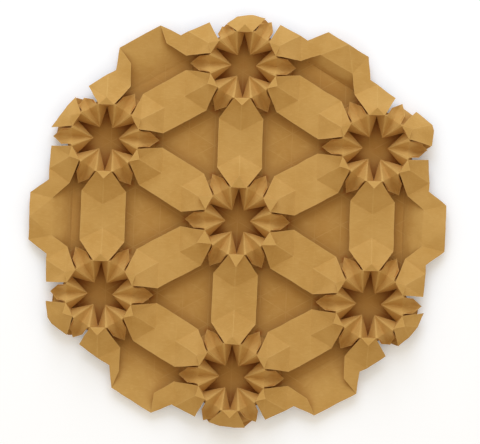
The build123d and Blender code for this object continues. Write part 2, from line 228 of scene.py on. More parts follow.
class PaperSettings(bpy.types.PropertyGroup):
    """Sizes and colours of the folded sheet."""

    star_pitch: bpy.props.FloatProperty(
        name="Star Pitch",
        description="Distance between the centres of two neighbouring stars",
        default=0.075,
        subtype="DISTANCE",
        unit="LENGTH",
    )
    petal_width: bpy.props.FloatProperty(
        name="Petal Width",
        description="Width of a petal between its two folded edges",
        default=0.0215,
        subtype="DISTANCE",
        unit="LENGTH",
    )
    petal_height: bpy.props.FloatProperty(
        name="Petal Height",
        description="Height of the flat middle of a petal above the table",
        default=0.0058,
        subtype="DISTANCE",
        unit="LENGTH",
    )
    cap_height: bpy.props.FloatProperty(
        name="Cap Height",
        description="Height of the peak where a petal climbs to a star",
        default=0.0160,
        subtype="DISTANCE",
        unit="LENGTH",
    )
    thickness: bpy.props.FloatProperty(
        name="Paper Thickness",
        description="Thickness of the sheet",
        default=0.00025,
        precision=5,
        subtype="DISTANCE",
        unit="LENGTH",
    )
    unevenness: bpy.props.FloatProperty(
        name="Unevenness",
        description="How far hand folding moves the paper from its even shape",
        default=0.00026,
        precision=5,
        subtype="DISTANCE",
        unit="LENGTH",
    )
    corner_shift: bpy.props.FloatProperty(
        name="Corner Shift",
        description="How far hand folding lifts or lowers a corner of a petal",
        default=0.0008,
        precision=5,
        subtype="DISTANCE",
        unit="LENGTH",
    )
    colour: bpy.props.FloatVectorProperty(
        name="Paper Colour",
        description="Main colour of the paper",
        default=(0.575, 0.325, 0.088),
        min=0.0,
        max=1.0,
        subtype="COLOR",
    )
    shade_colour: bpy.props.FloatVectorProperty(
        name="Mottle Colour",
        description="Deeper colour of the cloudy patches in the paper",
        default=(0.515, 0.275, 0.064),
        min=0.0,
        max=1.0,
        subtype="COLOR",
    )
    # Painted shade: the colour the paper is darkened towards where the folds round it hide the sky
    painted_fold_shade_colour: bpy.props.FloatVectorProperty(
        name="Painted Fold Shade",
        description="Colour of the paper as painted shade where the folds hide the sky",
        default=(0.42, 0.175, 0.026),
        min=0.0,
        max=1.0,
        subtype="COLOR",
    )
    # Painted shade: the dark warm colour that stands for the shadow and bounced light in the narrowest folds
    painted_deep_shade_colour: bpy.props.FloatVectorProperty(
        name="Painted Deep Shade",
        description="Painted warm shade in the narrowest folds",
        default=(0.40, 0.12, 0.015),
        min=0.0,
        max=1.0,
        subtype="COLOR",
    )
    worn_colour: bpy.props.FloatVectorProperty(
        name="Worn Fold Colour",
        description="Paler colour along the folds",
        default=(0.66, 0.41, 0.13),
        min=0.0,
        max=1.0,
        subtype="COLOR",
    )


class StageSettings(bpy.types.PropertyGroup):
    """The light, the floor and the camera."""

    key_level: bpy.props.FloatProperty(
        name="Key Level",
        description="Share of the light on a level surface that comes from the soft key lamp",
        default=0.31,
        min=0.0,
    )
    key_rise: bpy.props.FloatProperty(
        name="Key Rise",
        description="Angle of the key lamp above the table",
        default=radians(35),
        subtype="ANGLE",
        unit="ROTATION",
    )
    key_size: bpy.props.FloatProperty(
        name="Key Size",
        description="Length of each side of the key lamp",
        default=0.8,
        subtype="DISTANCE",
        unit="LENGTH",
    )
    sky_level: bpy.props.FloatProperty(
        name="Sky Level",
        description="Share of the light on a level surface that comes from all round",
        default=0.69,
        min=0.0,
    )
    key_colour: bpy.props.FloatVectorProperty(
        name="Key Colour",
        description="Slightly cool colour of the key lamp, like daylight from a window",
        default=(0.84, 1.0, 1.3),
        min=0.0,
        subtype="COLOR",
    )
    sky_colour: bpy.props.FloatVectorProperty(
        name="Sky Colour",
        description="Slightly warm colour of the light from all round, like that of a room",
        default=(1.07, 1.0, 0.87),
        min=0.0,
        subtype="COLOR",
    )
    floor_colour: bpy.props.FloatVectorProperty(
        name="Floor Colour",
        description="Colour of the plain pale floor",
        default=(0.92, 0.92, 0.92),
        min=0.0,
        max=1.0,
        subtype="COLOR",
    )
    floor_glow: bpy.props.FloatProperty(
        name="Floor Glow",
        description="Light added to the floor that the camera sees, so that it shows white",
        default=0.16,
        min=0.0,
    )
    camera_distance: bpy.props.FloatProperty(
        name="Camera Distance",
        description="Height of the camera above the sheet",
        default=1.6,
        subtype="DISTANCE",
        unit="LENGTH",
    )


class Star:
    """The folded points of one star, on its six spokes and its six boats."""

    def __init__(self, middle, lengths, cap_reach=OUTER_CAP_REACH):
        self.middle = middle
        paper = lengths["paper"]
        petal_half = lengths["petal_half"]
        petal_height = lengths["petal_height"]
        valley_reach = SHOULDER_REACH + petal_half * tan(radians(30))
        ridge_reach = cap_reach - CAP_OVERHANG
        ridge_height = petal_height + RIDGE_SLOPE * (valley_reach - ridge_reach)
        self.paper = paper
        self.petal_height = petal_height
        self.cap = self.six(SPOKES, cap_reach, 0, lengths["cap_height"])
        self.ridge = self.six(SPOKES, ridge_reach, 0, ridge_height)
        self.notch = self.six(SPOKES, NOTCH_REACH, 0, NOTCH_HEIGHT)
        self.notch_foot = self.six(SPOKES, FLOOR_NOTCH_REACH, 0, paper)
        self.valley = self.six(SPOKES, valley_reach, 0, petal_height)
        self.collar = self.pairs(SPOKES, COLLAR_REACH, CAP_HALF, COLLAR_HEIGHT)
        self.collar_foot = self.pairs(SPOKES, SLIT_REACH, CAP_FOOT_HALF, SLIT_HEIGHT)
        self.shoulder = self.pairs(SPOKES, SHOULDER_REACH, petal_half, petal_height)
        self.shoulder_foot = self.pairs(SPOKES, SHOULDER_REACH, PLEAT_HALF, paper)
        self.tip = self.six(BOATS, TIP_REACH, 0, TIP_HEIGHT)
        self.tip_foot = self.six(BOATS, FLOOR_TIP_REACH, 0, paper)
        self.saddle = self.six(BOATS, COLLAR_REACH, 0, SADDLE_HEIGHT)
        self.gunwale = self.pairs(BOATS, COLLAR_REACH, BOAT_HALF, COLLAR_HEIGHT)
        self.trough = [None] * 6
        self.end = [None] * 6
        self.end_foot = [None] * 6
        self.gunwale_foot = {LEFT: [None] * 6, RIGHT: [None] * 6}
        self.waist = {LEFT: [None] * 6, RIGHT: [None] * 6}
        self.waist_foot = {LEFT: [None] * 6, RIGHT: [None] * 6}
        for boat in range(6):
            self.set_boat(boat, BOAT_REACH)

    def set_boat(self, boat, reach):
        """Sets how far a boat reaches; its curved sides pass through the waist, halfway along."""
        angle = BOATS + 60 * boat
        share = (reach - COLLAR_REACH) / (BOAT_REACH - COLLAR_REACH)
        waist = COLLAR_REACH + (BOAT_WAIST_REACH - COLLAR_REACH) * share
        foot = COLLAR_REACH + (BOAT_FOOT_REACH - COLLAR_REACH) * share
        self.trough[boat] = self.at(angle, waist, 0, BOAT_TROUGH_HEIGHT)
        self.end[boat] = self.at(angle, reach, 0, BOAT_END_HEIGHT)
        self.end_foot[boat] = self.at(angle, foot, 0, self.paper)
        slit = COLLAR_REACH + (SLIT_REACH - COLLAR_REACH) * share
        for side in (LEFT, RIGHT):
            self.gunwale_foot[side][boat] = self.at(angle, slit, side * BOAT_FOOT_HALF, SLIT_HEIGHT)
            self.waist_foot[side][boat] = self.at(angle, waist, side * WAIST_FOOT_HALF, WAIST_FOOT_HEIGHT)
            through = self.at(angle, waist, side * BOAT_WAIST_HALF, BOAT_WAIST_HEIGHT)
            ends = self.gunwale[side][boat] + self.end[boat]
            self.waist[side][boat] = (6 * through - ends) / 4

    def set_half_petal(self, spoke, outer_side):
        """Cuts a petal off at the edge of the sheet, on the side of it that lies outward."""
        angle = SPOKES + 60 * spoke
        across = outer_side * HALF_CORNER_HALF
        self.valley[spoke] = self.at(angle, HALF_VALLEY_REACH, 0, self.petal_height)
        self.shoulder[outer_side][spoke] = self.at(angle, HALF_CORNER_REACH, across, self.petal_height)

    def at(self, angle, along, across, height):
        """A point at a distance along a direction from the star's middle, and across it to the left."""
        turn = radians(angle)
        x = self.middle.x + along * cos(turn) - across * sin(turn)
        y = self.middle.y + along * sin(turn) + across * cos(turn)
        return Vector((x, y, height))

    def six(self, first, along, across, height):
        """The same point on each of the six spokes or boats."""
        return [self.at(first + 60 * turn, along, across, height) for turn in range(6)]

    def pairs(self, first, along, half, height):
        """The same point on each side of each of the six spokes or boats."""
        return {side: self.six(first, along, side * half, height) for side in (LEFT, RIGHT)}


class FoldedFront:
    """The front of the sheet as flat facets, with the edges between them that stay soft."""

    def __init__(self, lengths):
        self.lengths = lengths
        self.paper = lengths["paper"]
        self.places = {}
        self.points = []
        self.facets = []
        self.soft = {}
        self.soft_points = {}
        self.grid = set()

    def number(self, point):
        """The number of a point; the same place always has the same number."""
        place = tuple(round(value, 4) for value in point)
        if place not in self.places:
            self.places[place] = len(self.points)
            self.points.append(Vector(point))
        return self.places[place]

    def edge(self, a, b):
        """The two numbers of an edge, the lower one first."""
        return tuple(sorted((self.number(a), self.number(b))))

    def flat(self, *corners):
        """One flat facet, its corners anticlockwise as seen from the front."""
        self.facets.append([self.number(corner) for corner in corners])

    def soften(self, weight, *line):
        """The folds along a line of points stay as sharp as the weight says."""
        for a, b in zip(line, line[1:]):
            self.soft[self.edge(a, b)] = weight

    def mark_grid(self, *line):
        """Folding left a faint crease of the grid along a line of points."""
        for a, b in zip(line, line[1:]):
            self.grid.add(self.edge(a, b))

    def fan(self, hub, loop):
        """Flat facets from one point to each edge of a closed loop."""
        for start, end in zip(loop, loop[1:] + loop[:1]):
            self.flat(hub, start, end)

    def wall(self, crest, foot):
        """Flat facets that fold back from a crest line and run down to a foot line."""
        on_crest = 0
        on_foot = 0
        while on_crest < len(crest) - 1 or on_foot < len(foot) - 1:
            crest_next = (on_crest + 1) / max(len(crest) - 1, 1)
            foot_next = (on_foot + 1) / max(len(foot) - 1, 1)
            if on_foot < len(foot) - 1 and foot_next <= crest_next:
                self.flat(crest[on_crest], foot[on_foot], foot[on_foot + 1])
                on_foot += 1
            else:
                self.flat(crest[on_crest + 1], crest[on_crest], foot[on_foot])
                on_crest += 1

    def fold_crater(self, star):
        """The floor of a star, its six boats and its six caps, with the walls beneath them."""
        floor_loop = []
        for boat in range(6):
            self.fold_boat(star, boat)
            floor_loop += [star.tip_foot[boat], star.notch_foot[boat]]
        for spoke in range(6):
            left = star.collar[LEFT][spoke]
            right = star.collar[RIGHT][spoke]
            cap = star.cap[spoke]
            ridge = star.ridge[spoke]
            self.flat(left, right, cap)
            self.flat(star.notch[spoke], right, left)
            self.flat(cap, right, ridge)
            self.flat(left, cap, ridge)
        self.fan(star.at(0, 0, 0, self.paper), floor_loop)

    def fold_boat(self, star, boat):
        """One boat: its inner point, its outer scoop and the walls under its edges."""
        before = (boat - 1) % 6
        tip = star.tip[boat]
        saddle = star.saddle[boat]
        trough = star.trough[boat]
        end = star.end[boat]
        left = star.gunwale[LEFT][boat]
        right = star.gunwale[RIGHT][boat]
        left_foot = star.gunwale_foot[LEFT][boat]
        right_foot = star.gunwale_foot[RIGHT][boat]
        left_collar = star.collar[RIGHT][boat]
        right_collar = star.collar[LEFT][before]
        left_waist = star.waist[LEFT][boat]
        right_waist = star.waist[RIGHT][boat]
        self.flat(tip, right, saddle)
        self.flat(tip, saddle, left)
        self.flat(saddle, right, right_waist)
        self.flat(saddle, right_waist, trough)
        self.flat(trough, right_waist, end)
        self.flat(saddle, trough, left_waist)
        self.flat(trough, end, left_waist)
        self.flat(saddle, left_waist, left)
        self.flat(tip, left, left_collar)
        self.flat(tip, left_collar, star.notch[boat])
        self.flat(tip, star.notch[before], right_collar)
        self.flat(tip, right_collar, right)
        self.wall([right_collar, right], [star.collar_foot[LEFT][before], right_foot])
        self.wall([right, right_waist, end], [right_foot, star.waist_foot[RIGHT][boat], star.end_foot[boat]])
        self.wall([end, left_waist, left], [star.end_foot[boat], star.waist_foot[LEFT][boat], left_foot])
        self.wall([left, left_collar], [left_foot, star.collar_foot[RIGHT][boat]])
        self.wall([star.notch[boat], tip], [star.notch_foot[boat], star.tip_foot[boat]])
        self.wall([tip, star.notch[before]], [star.tip_foot[boat], star.notch_foot[before]])
        self.soften(TIP_CREASE, tip, saddle)
        self.soften(SADDLE_CREASE, left, saddle, right)
        self.soften(SCOOP_CREASE, saddle, trough, end)
        self.soften(SCOOP_CREASE, left_waist, saddle, right_waist, trough, left_waist)
        self.soft_points[self.number(end)] = BOAT_END_CREASE

    def fold_petal_end(self, star, spoke, left_foot=None, right_foot=None):
        """The facets of a petal that climb to a cap, and the walls under their edges."""
        ridge = star.ridge[spoke]
        valley = star.valley[spoke]
        left = star.shoulder[LEFT][spoke]
        right = star.shoulder[RIGHT][spoke]
        left_collar = star.collar[LEFT][spoke]
        right_collar = star.collar[RIGHT][spoke]
        self.flat(ridge, right_collar, right)
        self.flat(ridge, right, valley)
        self.flat(ridge, valley, left)
        self.flat(ridge, left, left_collar)
        left_foot = left_foot or [star.shoulder_foot[LEFT][spoke], star.collar_foot[LEFT][spoke]]
        right_foot = right_foot or [star.collar_foot[RIGHT][spoke], star.shoulder_foot[RIGHT][spoke]]
        self.wall([left], left_foot)
        self.wall([left, left_collar], left_foot[-1:])
        self.wall([right_collar, right], right_foot[:1])
        self.wall([right], right_foot)
        self.mark_grid(ridge, valley)
        self.mark_grid(left, ridge, right)

    def fold_petal(self, star, spoke, other):
        """A whole petal from one star to its neighbour: both ends, the flat middle and the walls beneath."""
        back = (spoke + 3) % 6
        self.fold_petal_end(star, spoke)
        self.fold_petal_end(other, back)
        angle = SPOKES + 60 * spoke
        near = star.valley[spoke]
        far = other.valley[back]
        half = self.lengths["petal_half"]
        middle = self.lengths["star_pitch"] / 2
        edge_height = self.lengths["petal_height"] - PETAL_EDGE_SAG
        right_middle = star.at(angle, middle, -half, edge_height)
        left_middle = star.at(angle, middle, half, edge_height)
        self.flat(near, star.shoulder[RIGHT][spoke], right_middle)
        self.flat(near, right_middle, far)
        self.flat(far, right_middle, other.shoulder[LEFT][back])
        self.flat(near, far, left_middle)
        self.flat(near, left_middle, star.shoulder[LEFT][spoke])
        self.flat(far, other.shoulder[RIGHT][back], left_middle)
        self.wall(
            [star.shoulder[RIGHT][spoke], right_middle, other.shoulder[LEFT][back]],
            [star.shoulder_foot[RIGHT][spoke], other.shoulder_foot[LEFT][back]],
        )
        self.wall(
            [other.shoulder[RIGHT][back], left_middle, star.shoulder[LEFT][spoke]],
            [other.shoulder_foot[RIGHT][back], star.shoulder_foot[LEFT][spoke]],
        )
        self.mark_grid(near, right_middle, far, left_middle, near, far)

    def fold_slit(self, star, boat, side, petal_foot):
        """The bottom of the slit between a boat and the petal beside it, which climbs to the collar."""
        gunwale = star.gunwale_foot[side][boat]
        waist = star.waist_foot[side][boat]
        end = star.end_foot[boat]
        if side == LEFT:
            self.flat(petal_foot, star.collar_foot[RIGHT][boat], gunwale)
            self.flat(petal_foot, gunwale, waist)
            self.flat(petal_foot, waist, end)
        else:
            self.flat(end, waist, petal_foot)
            self.flat(waist, gunwale, petal_foot)
            self.flat(gunwale, star.collar_foot[LEFT][(boat - 1) % 6], petal_foot)

    def recess_corner(self, star, boat):
        """The feet that bound a recess where a boat points into it, anticlockwise round the recess."""
        left_foot = star.shoulder_foot[RIGHT][boat]
        right_foot = star.shoulder_foot[LEFT][(boat - 1) % 6]
        self.fold_slit(star, boat, LEFT, left_foot)
        self.fold_slit(star, boat, RIGHT, right_foot)
        return [left_foot, star.end_foot[boat], right_foot]

    def fold_recess(self, first, second, third, boat):
        """The flat triangular floor between three stars."""
        loop = self.recess_corner(first, boat)
        loop += self.recess_corner(second, (boat + 2) % 6)
        loop += self.recess_corner(third, (boat + 4) % 6)
        hub = (first.middle + second.middle + third.middle) / 3
        self.fan(Vector((hub.x, hub.y, self.paper)), loop)

    def fold_side(self, low, high, side):
        """One side of the border: two half petals, the rising floor and the rim."""
        angle = 60 * (side + 1)
        outward = Vector((cos(radians(angle)), sin(radians(angle)), 0))
        star_row = self.lengths["star_pitch"] * cos(radians(30))
        row = Star(outward * star_row, self.lengths)
        paper = self.paper
        petal_height = self.lengths["petal_height"]
        is_open = side in OPEN_SIDES
        rim_height = RIM_HEIGHTS[side]
        slide = RIM_SLIDES[side]
        slope_start = SLOPE_STARTS[side]
        slope_end = RIM_REACH if is_open else CREASE_REACH
        slope_top = rim_height if is_open else CREASE_HEIGHTS[side]
        slope = (slope_top - paper) / (slope_end - slope_start)
        low_spoke = (side + 1) % 6
        high_spoke = side % 6
        low_step = row.at(angle, STEP_REACH, slide - STEP_HALF, petal_height)
        high_step = row.at(angle, STEP_REACH, slide + STEP_HALF, petal_height)
        low_rim = row.at(angle, RIM_REACH, slide - RIM_HALF, rim_height)
        high_rim = row.at(angle, RIM_REACH, slide + RIM_HALF, rim_height)
        rim_middle = row.at(angle, RIM_REACH, slide, rim_height + RIM_RISES[side])
        if is_open:
            low_crease = row.at(angle, FLAP_REACH, -FLAP_HALF, FLAP_HEIGHT)
            high_crease = row.at(angle, FLAP_REACH, FLAP_HALF, FLAP_HEIGHT)
        else:
            low_crease = row.at(angle, CREASE_REACH, slide - CREASE_HALF, slope_top)
            high_crease = row.at(angle, CREASE_REACH, slide + CREASE_HALF, slope_top)

        # Where the floor begins to rise, on the foot line of each half petal
        low_collar = low.collar_foot[LEFT][low_spoke]
        high_collar = high.collar_foot[RIGHT][high_spoke]
        low_foot = low.shoulder_foot[LEFT][low_spoke]
        high_foot = high.shoulder_foot[RIGHT][high_spoke]
        start = star_row + slope_start
        share = (start - low_collar.dot(outward)) / (low_foot.dot(outward) - low_collar.dot(outward))
        low_start = low_collar + (low_foot - low_collar) * share
        high_start = high_collar + (high_foot - high_collar) * share
        low_start.z = paper
        high_start.z = paper
        lift = Vector((0, 0, (low_foot.dot(outward) - start) * slope))
        low_foot = low_foot + lift
        high_foot = high_foot + lift

        # The two half petals and the walls under their inner edges
        low_shoulder = low.shoulder[LEFT][low_spoke]
        high_shoulder = high.shoulder[RIGHT][high_spoke]
        self.fold_petal_end(low, low_spoke, left_foot=[low_foot, low_start, low_collar])
        self.fold_petal_end(high, high_spoke, right_foot=[high_collar, high_start, high_foot])
        self.flat(low_shoulder, low.valley[low_spoke], low_step)
        self.flat(low_shoulder, low_step, low_crease)
        self.flat(low_step, low_rim, low_crease)
        self.flat(high_shoulder, high_step, high.valley[high_spoke])
        self.flat(high_shoulder, high_crease, high_step)
        self.flat(high_step, high_crease, high_rim)

        # The flat part of the floor, its rising part and the rim
        low_boat = (side + 2) % 6
        low_petal = low.shoulder_foot[RIGHT][low_boat]
        high_petal = high.shoulder_foot[LEFT][(side + 5) % 6]
        self.fold_slit(low, low_boat, LEFT, low_petal)
        self.fold_slit(low, low_boat, RIGHT, low_start)
        self.fold_slit(high, side, LEFT, high_start)
        self.fold_slit(high, side, RIGHT, high_petal)
        loop = [high_petal, low_petal, low.end_foot[low_boat], low_start, high_start, high.end_foot[side]]
        self.fan(row.at(angle, FLOOR_HUB_SHARE * slope_start, 0, paper), loop)
        if is_open:
            under_height = paper + (FLAP_REACH - slope_start) * slope
            under_half = (FLAP_HALF + STEP_HALF) / 2
            low_under = row.at(angle, FLAP_REACH, slide / 2 - under_half, under_height)
            high_under = row.at(angle, FLAP_REACH, slide / 2 + under_half, under_height)
            self.wall([low_rim, low_crease, low_shoulder], [low_under, low_foot])
            self.wall([high_shoulder, high_crease, high_rim], [high_foot, high_under])
            slope_loop = [low_foot, low_under, low_rim, rim_middle, high_rim, high_under, high_foot]
        else:
            self.wall([low_crease, low_shoulder], [low_foot])
            self.wall([high_shoulder, high_crease], [high_foot])
            slope_loop = [low_foot, low_crease, high_crease, high_foot]
            self.flat(low_crease, low_rim, rim_middle)
            self.flat(low_crease, rim_middle, high_crease)
            self.flat(high_crease, rim_middle, high_rim)
            self.mark_grid(low_rim, low_crease, rim_middle, high_crease, high_rim)
            self.mark_grid(low_crease, high_crease)
        hub_rise = SLOPE_HUB_SHARE * (slope_end - slope_start)
        slope_hub = row.at(angle, slope_start + hub_rise, 0, paper + hub_rise * slope)
        self.fan(slope_hub, [high_start, low_start] + slope_loop)
        self.mark_grid(low_start, slope_hub, high_start)
        self.mark_grid(low_start, high_start)

    def fold_outer_petal(self, star, spoke):
        """The short petal that points outward from an outer star and ends at the edge of the sheet."""
        angle = SPOKES + 60 * spoke
        edge = [star.at(angle, *point) for point in OUTER_PETAL_EDGES[spoke]]
        left = edge[0]
        right = edge[-1]
        ridge = star.ridge[spoke]
        self.flat(ridge, star.collar[RIGHT][spoke], right)
        for point, following in zip(edge, edge[1:]):
            self.flat(ridge, following, point)
            self.soften(CUT_EDGE_CREASE, point, following)
        self.flat(ridge, left, star.collar[LEFT][spoke])

        # The walls under its two sides, and the bottoms of the slits beside it
        left_along, left_across, _ = OUTER_PETAL_EDGES[spoke][0]
        right_along, right_across, _ = OUTER_PETAL_EDGES[spoke][-1]
        left_foot = star.at(angle, left_along, PLEAT_HALF, self.paper)
        right_foot = star.at(angle, right_along, -PLEAT_HALF, self.paper)
        left_boat = (spoke + 1) % 6
        self.fold_slit(star, left_boat, RIGHT, left_foot)
        self.fold_slit(star, spoke, LEFT, right_foot)
        left_slit = star.collar_foot[LEFT][spoke]
        right_slit = star.collar_foot[RIGHT][spoke]
        self.wall([left], [left_foot, left_slit])
        self.wall([left, star.collar[LEFT][spoke]], [left_slit])
        self.wall([star.collar[RIGHT][spoke], right], [right_slit])
        self.wall([right], [right_slit, right_foot])
        left_share, right_share = OUTER_GAP_SHARES[spoke]
        if left_share:
            left_gap = star.at(angle, left_share * left_along, left_share * left_across, self.paper)
            self.flat(star.end_foot[left_boat], left_foot, left_gap)
        if right_share:
            right_gap = star.at(angle, right_share * right_along, right_share * right_across, self.paper)
            self.flat(right_foot, star.end_foot[spoke], right_gap)

    def shift_corners(self, amount):
        """Lifts or lowers each corner of the petals a little, so that facets differ in the light."""
        for point in self.points:
            if PETAL_LOW < point.z < PETAL_HIGH:
                point.z += amount * noise.noise(point * CORNER_GRAIN + CORNER_OFFSET)

    def fold(self):
        """Folds the whole front."""
        centre = Star(Vector((0, 0, 0)), self.lengths, CENTRE_CAP_REACH)
        middles = centre.six(SPOKES, self.lengths["star_pitch"], 0, 0)
        ring = [Star(middle, self.lengths) for middle in middles]
        for turn, star in enumerate(ring):
            star.set_boat(turn, OUTER_BOAT_REACHES[turn][0])
            star.set_boat((turn + 1) % 6, OUTER_BOAT_REACHES[turn][1])
            star.set_half_petal((turn + 1) % 6, RIGHT)
            star.set_half_petal((turn + 5) % 6, LEFT)
        for star in [centre] + ring:
            self.fold_crater(star)
        for turn in range(6):
            following = (turn + 1) % 6
            self.fold_petal(centre, turn, ring[turn])
            self.fold_petal(ring[turn], (turn + 2) % 6, ring[following])
            self.fold_recess(centre, ring[turn], ring[following], following)
            self.fold_side(ring[turn], ring[following], turn)
            self.fold_outer_petal(ring[turn], turn)


def coarse_sheet(front):
    """The flat facets of the front as an editable mesh in metres."""
    sheet = bmesh.new()
    verts = [sheet.verts.new(point * MM) for point in front.points]
    for facet in front.facets:
        sheet.faces.new([verts[number] for number in facet])
    sheet.verts.index_update()
    return sheet


def edge_numbers(edge):
    """The numbers of an edge's two points, the lower one first."""
    return tuple(sorted(vert.index for vert in edge.verts))


def front_mesh(front):
    """A coarse mesh of the folded front, with sharp folds and soft scoops for a subdivision surface."""
    sheet = coarse_sheet(front)
    crease = sheet.edges.layers.float.new("crease_edge")
    corner = sheet.verts.layers.float.new("crease_vert")
    sheet.verts.ensure_lookup_table()
    for edge in sheet.edges:
        edge[crease] = front.soft.get(edge_numbers(edge), 1.0)
    for number, weight in front.soft_points.items():
        sheet.verts[number][corner] = weight
    mesh = bpy.data.meshes.new("folded_front")
    sheet.to_mesh(mesh)
    sheet.free()
    return mesh


def fold_lines(front):
    """The crests and the grid creases of the front: two end points in metres each."""
    sheet = coarse_sheet(front)
    sheet.normal_update()
    lines = {"crest": [], "grid": []}
    for edge in sheet.edges:
        pair = edge_numbers(edge)
        ends = [tuple(vert.co) for vert in edge.verts]
        if pair in front.grid:
            lines["grid"].append(ends)
        turn = degrees(edge.calc_face_angle_signed(0.0))
        if turn > CREST_TURN and pair not in front.soft:
            lines["crest"].append(ends)
    sheet.free()
    return lines


def distances(places, lines):
    """How far each place lies from the nearest of some straight lines, in millimetres."""
    starts = np.array([line[0] for line in lines])
    runs = np.array([line[1] for line in lines]) - starts
    lengths = np.maximum((runs * runs).sum(axis=1), 1e-12)
    nearest = np.empty(len(places))
    for first in range(0, len(places), PLACES_AT_ONCE):
        some = places[first:first + PLACES_AT_ONCE]
        offsets = some[:, None, :] - starts[None, :, :]
        shares = np.clip((offsets * runs[None, :, :]).sum(axis=2) / lengths, 0.0, 1.0)
        gaps = offsets - shares[:, :, None] * runs[None, :, :]
        nearest[first:first + PLACES_AT_ONCE] = np.sqrt((gaps * gaps).sum(axis=2).min(axis=1))
    return nearest / MM


def sky_occlusion(mesh, reach):
    """The share of the open sky above each point that the paper round it hides, within some reach; the
    material paints shade from it.
    """
    corners = [vert.co for vert in mesh.vertices]
    tree = BVHTree.FromPolygons(corners, [face.vertices for face in mesh.polygons])
    rays = []
    for rise, count, start in SKY_RINGS:
        level = cos(radians(rise))
        for turn in range(count):
            angle = radians(360 * (turn + start) / count)
            rays.append((Vector((level * cos(angle), level * sin(angle), sin(radians(rise)))), level))
    hidden = np.empty(len(mesh.vertices))
    for vert in mesh.vertices:
        seen = 0.0
        whole = 0.0
        for ray, level in rays:
            weight = level * max(ray.dot(vert.normal), 0.0)
            if weight > 0.0:
                whole += weight
                if tree.ray_cast(vert.co + vert.normal * RAY_START * MM, ray, reach)[0] is None:
                    seen += weight
        hidden[vert.index] = 1.0 - seen / whole if whole else 1.0
    return hidden


def evaluated(piece, name):
    """A new mesh of a piece with its modifiers applied."""
    bpy.context.view_layer.update()
    depsgraph = bpy.context.evaluated_depsgraph_get()
    mesh = bpy.data.meshes.new_from_object(piece.evaluated_get(depsgraph))
    mesh.name = name
    return mesh


def with_mesh(piece, mesh):
    """Gives a piece a finished mesh and clears its modifiers."""
    old = piece.data
    piece.modifiers.clear()
    piece.data = mesh
    bpy.data.meshes.remove(old)


def kept_inside(spot, lowest, highest):
    """A point brought inside a box."""
    return Vector([min(max(spot[axis], lowest[axis]), highest[axis]) for axis in range(3)])


def make_uneven(mesh, amount, lowest, highest):
    """Moves the paper a little, as hand folding does, and never off the table or out of the model's box."""
    noise.seed_set(UNEVEN_SEED)
    for vert in mesh.vertices:
        place = vert.co / MM
        share = min(max((place.z - STILL_HEIGHT) / (FREE_HEIGHT - STILL_HEIGHT), 0.0), 1.0)
        wide = noise.noise_vector(place * WIDE_GRAIN + WIDE_OFFSET)
        small = noise.noise_vector(place * SMALL_GRAIN + SMALL_OFFSET)
        move = (wide * WIDE_SHARE + small) * amount
        move.z *= share
        vert.co = kept_inside(vert.co + move, lowest, highest)


